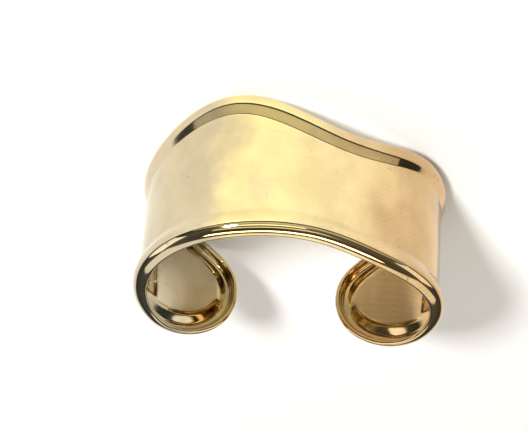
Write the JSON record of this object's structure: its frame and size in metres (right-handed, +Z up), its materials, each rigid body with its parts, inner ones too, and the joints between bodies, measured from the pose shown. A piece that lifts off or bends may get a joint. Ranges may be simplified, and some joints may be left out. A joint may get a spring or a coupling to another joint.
{
  "type": "cuff bracelet",
  "caption": "Wide open cuff for the wrist in polished yellow gold, with a rolled rim round its whole edge and one edge that rises and falls in a wave",
  "frame": {"origin": "on the surface the cuff lies on, under the centre of its box", "axes": "+X across the wrist, +Y from the top of the arch toward the gap between the ends, +Z up from the surface, within 9 degrees of the wrist's own axis"},
  "size_m": [0.0644, 0.0562, 0.0323],
  "materials": {
    "polished_gold": "polished"
  },
  "bodies": {
    "root": {"cuff": "polished_gold"}
  },
  "joints": []
}
